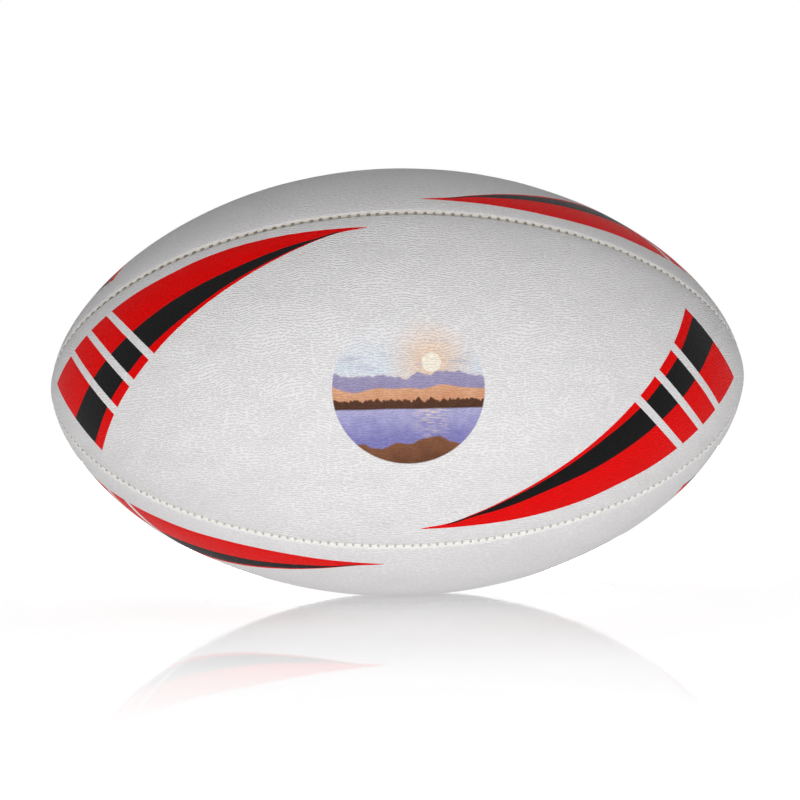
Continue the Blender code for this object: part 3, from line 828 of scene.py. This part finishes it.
def cutValveHole(piece):
    # a punched hole, with its edge rounded over by the press
    radius, edge = valve["holeRadius"] / mm, valve["holeRound"] / mm
    leans = [radians(90) * i / valve["holeSteps"] for i in range(valve["holeSteps"] + 1)]
    flare = [(radius + edge * (1 - cos(lean)), -edge * (1 - sin(lean))) for lean in leans]
    top, foot, inner = valve["cutter"]
    profile = [(inner, top), (radius + edge, top)] + flare[::-1] + [(radius, foot), (inner, foot)]
    bm = spunOutline(profile, valve["steps"])
    mesh = bpy.data.meshes.new("valveHole")
    bm.to_mesh(mesh)
    bm.free()
    cutter = bpy.data.objects.new("valveHole", mesh)
    bpy.context.scene.collection.objects.link(cutter)
    modifier = piece.modifiers.new("valveHole", "BOOLEAN")
    modifier.object, modifier.solver = cutter, "EXACT"
    bpy.context.view_layer.update()
    holed = bpy.data.meshes.new_from_object(piece.evaluated_get(bpy.context.evaluated_depsgraph_get()))
    piece.modifiers.clear()
    piece.data = holed
    bpy.data.objects.remove(cutter)


# build the ball

plainLeather = coverLeather("embossedSyntheticLeather", False)
printedLeather = coverLeather("embossedSyntheticLeatherWithPicture", True)
covers = {name: coverPanel(name, printedLeather if name == "Front" else plainLeather) for name in panels}
cutValveHole(covers["Back"])
print("covers done")

thread = waxedThread()
for name in seams:
    seamStitches(name, thread)
print("stitches done")

valveBoot = addPiece("valveBoot", spunOutline(valve["boot"], valve["steps"], valve["rounding"]),
                     mouldedRubber(*valve["bootFinish"]))
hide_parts("valve_boot")
valvePlug = addPiece("valvePlug", spunOutline(valve["plug"], valve["steps"], valve["rounding"]),
                     mouldedRubber(*valve["plugFinish"]))
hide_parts("valve_plug")
print("valve done")

# by the start of the nodes' names
finishes = {
    "lining_outer": wovenCloth("coatedPolyCottonOuter", "#D8D0BC", "#A79C84", 0.0006),
    "lining_inner": wovenCloth("coatedPolyCottonInner", "#CFC5AC", "#948870", 0.0008),
    "bladder": mouldedRubber("mouldedButylBladder", "#1A1A1B", "#4A4948", 0.55, 0.0005),
    "valve_patch": wovenCloth("rubberisedPatchCloth", "#5A5650", "#2E2C29", 0.0005),
}
for name, node in nodes.items():
    for start, finish in finishes.items():
        if name.startswith(start):
            node.data.materials.clear()
            node.data.materials.append(finish)
print("inner pieces finished")


# floor and light

studio = {
    "floorHeight": -0.09175,
    "floorRadius": 6,
    "floorColour": "#E7E7E7",
    "white": "#FFFFFF",
    "room": 0.015,  # the even light from all round
    "floorWhite": (0.90, 1.0),  # near the ball, where its shadow shows, and further away
    "whiteReach": (0.3, 0.8),  # metres from the ball's middle, for those two
    "shadow": 0.55,  # of the floor's white, that is left where the ball touches it
    "shadowReach": 0.10,
    "mirror": 1.6,  # times what clear acrylic reflects
    "acrylicIor": 1.49,
    "mirrorFade": (0.03, 0.24),  # metres from the ball's middle, across it
    "mirrorOval": 0.45,  # how much a metre along the ball counts against one across it
    "mirrorBlur": 0.03,
    "bounce": 0.56,  # light that the floor throws up at the ball
    # place, size and power of each lamp, all turned to the ball
    "lamps": {
        "keyLamp": ((-0.05, -1.7, -0.01), (1.3, 0.24), 24.6),
        "backLamp": ((0.05, 1.7, -0.01), (1.3, 0.24), 24.6),
        "leftLamp": ((-1.8, 0, 0.2), (0.6, 0.5), 0.2),
        "rightLamp": ((1.8, 0, 0.2), (0.6, 0.5), 0.5),
        "topLamp": ((0, 1.0, 1.4), (1.0, 1.0), 1.7),
    },
}


def seenOrMirrored(tree):
    # 1 for what the camera sees, straight on or in something shiny, and 0 for light that falls on the ball
    path = addNode(tree, "LightPath")
    seen = path.outputs["Is Camera Ray"]
    for ray in ("Is Glossy Ray", "Is Transmission Ray"):
        seen = addNode(tree, "Math", {0: seen, 1: path.outputs[ray]}, operation="ADD",
                       use_clamp=True).outputs[0]
    return seen


def paleFloor():
    bm = bmesh.new()
    bmesh.ops.create_circle(bm, segments=96, radius=studio["floorRadius"], cap_ends=True)
    bmesh.ops.translate(bm, verts=bm.verts[:], vec=(0, 0, studio["floorHeight"]))
    mesh = bpy.data.meshes.new("floor")
    bm.to_mesh(mesh)
    bm.free()
    floor = bpy.data.objects.new("floor", mesh)
    bpy.context.scene.collection.objects.link(floor)
    # white acrylic sheet: the camera sees it white, with the ball's soft shadow and a dim mirror image
    material = bpy.data.materials.new("whiteAcrylicSheet")
    material.use_nodes = True
    tree = material.node_tree
    tree.nodes.clear()
    place = addNode(tree, "TexCoord").outputs["Object"]
    way = addNode(tree, "VectorMath", {0: place}, operation="LENGTH").outputs["Value"]
    oval = addNode(tree, "Mapping", {"Vector": place, "Scale": (studio["mirrorOval"], 1, 0)}).outputs[0]
    aside = addNode(tree, "VectorMath", {0: oval}, operation="LENGTH").outputs["Value"]
    start, end = studio["mirrorFade"]
    mirror = addNode(tree, "MapRange", {"Value": aside, "From Min": start, "From Max": end, "To Max": 0.0,
                                        "To Min": studio["mirror"]}).outputs[0]
    # a sheet mirrors more at a low angle
    shallow = addNode(tree, "Fresnel", {"IOR": studio["acrylicIor"]}).outputs[0]
    mirror = addNode(tree, "Math", {0: mirror, 1: shallow}, operation="MULTIPLY", use_clamp=True).outputs[0]
    start, end = studio["whiteReach"]
    near, far = studio["floorWhite"]
    white = addNode(tree, "MapRange", {"Value": way, "From Min": start, "From Max": end, "To Min": near,
                                       "To Max": far}).outputs[0]
    diffuse = addNode(tree, "BsdfDiffuse", {"Color": studio["floorColour"]})
    # the white is dimmed where the ball stands close above it, or its shadow would drown
    clear = addNode(tree, "AmbientOcclusion", {"Distance": studio["shadowReach"]}, samples=8).outputs["AO"]
    shadow = addNode(tree, "MapRange", {"Value": clear, "To Min": studio["shadow"]}).outputs[0]
    white = addNode(tree, "Math", {0: white, 1: shadow}, operation="MULTIPLY").outputs[0]
    glow = addNode(tree, "Emission", {"Color": studio["white"], "Strength": white})
    lit = addNode(tree, "AddShader", {0: diffuse.outputs[0], 1: glow.outputs[0]})
    bounce = addNode(tree, "Emission", {"Color": studio["white"], "Strength": studio["bounce"]})
    toCamera = addNode(tree, "MixShader", {0: seenOrMirrored(tree), 1: bounce.outputs[0], 2: lit.outputs[0]})
    gloss = addNode(tree, "BsdfAnisotropic", {"Color": studio["white"], "Roughness": studio["mirrorBlur"]})
    both = addNode(tree, "MixShader", {0: mirror, 1: toCamera.outputs[0], 2: gloss.outputs[0]})
    addNode(tree, "OutputMaterial", {"Surface": both.outputs[0]})
    mesh.materials.append(material)


def softLamp(name, place, size, power):
    lamp = bpy.data.lights.new(name, "AREA")
    lamp.shape = "RECTANGLE"
    lamp.size, lamp.size_y = size
    lamp.energy = power
    stand = bpy.data.objects.new(name, lamp)
    stand.location = place
    stand.rotation_euler = (-Vector(place)).to_track_quat("-Z", "Y").to_euler()
    bpy.context.scene.collection.objects.link(stand)


def whiteRoom():
    # white to the camera and in reflections, and a dim even light otherwise
    world = bpy.data.worlds.new("whiteRoom")
    bpy.context.scene.world = world
    world.use_nodes = True
    tree = world.node_tree
    tree.nodes.clear()
    strength = addNode(tree, "MapRange", {"Value": seenOrMirrored(tree), "To Min": studio["room"]})
    back = addNode(tree, "Background", {"Color": studio["white"], "Strength": strength.outputs[0]})
    addNode(tree, "OutputWorld", {"Surface": back.outputs[0]})


paleFloor()
for name, settings in studio["lamps"].items():
    softLamp(name, *settings)
whiteRoom()
bpy.context.scene.view_settings.view_transform = "Standard"
print("studio done")
